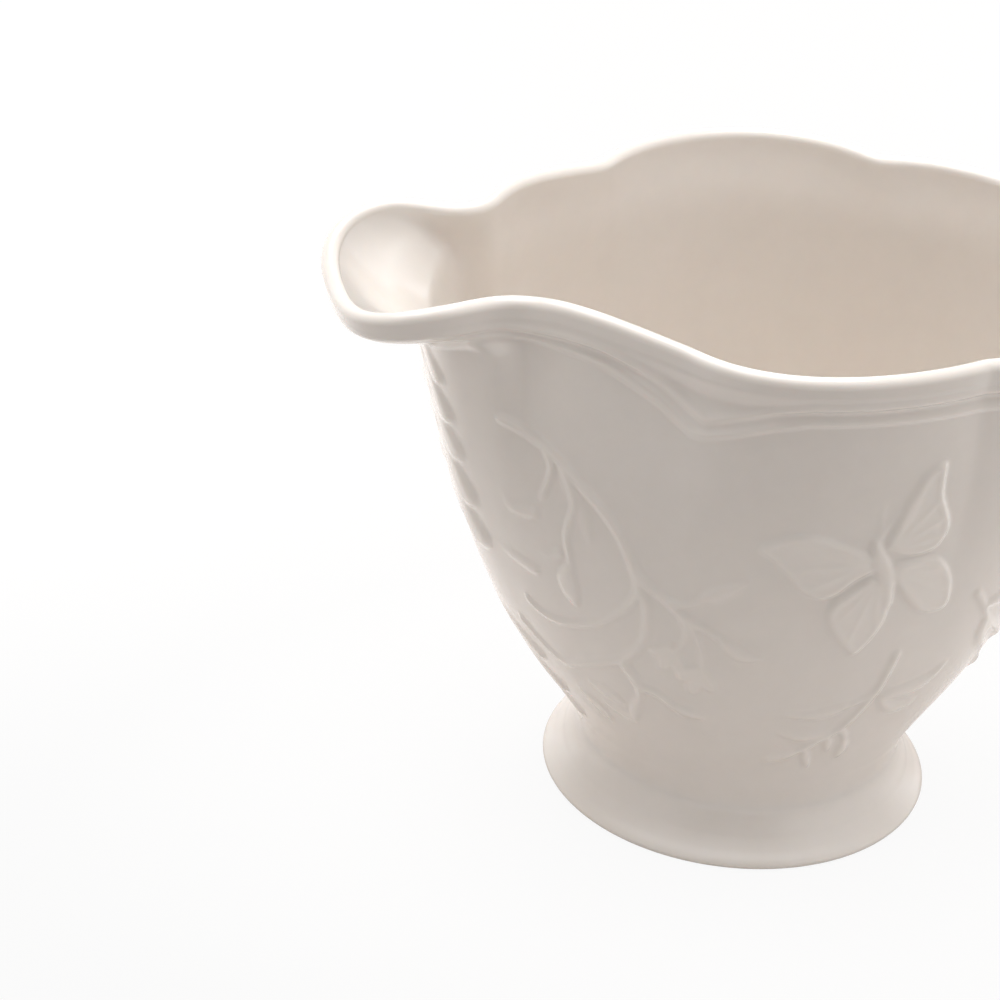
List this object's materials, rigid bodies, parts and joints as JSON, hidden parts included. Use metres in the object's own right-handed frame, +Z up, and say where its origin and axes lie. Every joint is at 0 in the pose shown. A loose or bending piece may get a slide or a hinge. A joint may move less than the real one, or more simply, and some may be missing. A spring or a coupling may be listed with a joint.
{
  "type": "cream jug",
  "caption": "Porcelain cream jug with a scalloped oval bowl, broad pouring lip, spreading hollow foot and a scroll handle.",
  "frame": {"origin": "centre of the bounding box in plan, on the plane the foot rests on", "axes": "+X towards the handle, -X towards the pouring lip, +Z up; XZ is the mirror plane"},
  "size_m": [0.1508, 0.0776, 0.0973],
  "materials": {
    "glazed_porcelain": "clear gloss glaze over warm white porcelain",
    "luting_slip": "fired porcelain slip under the same glaze"
  },
  "bodies": {
    "root": {"bowl": "glazed_porcelain", "foot": "glazed_porcelain", "handle": "glazed_porcelain", "foot_slip_joint": "luting_slip", "handle_upper_slip_joint": "luting_slip", "handle_lower_slip_joint": "luting_slip"}
  },
  "joints": []
}
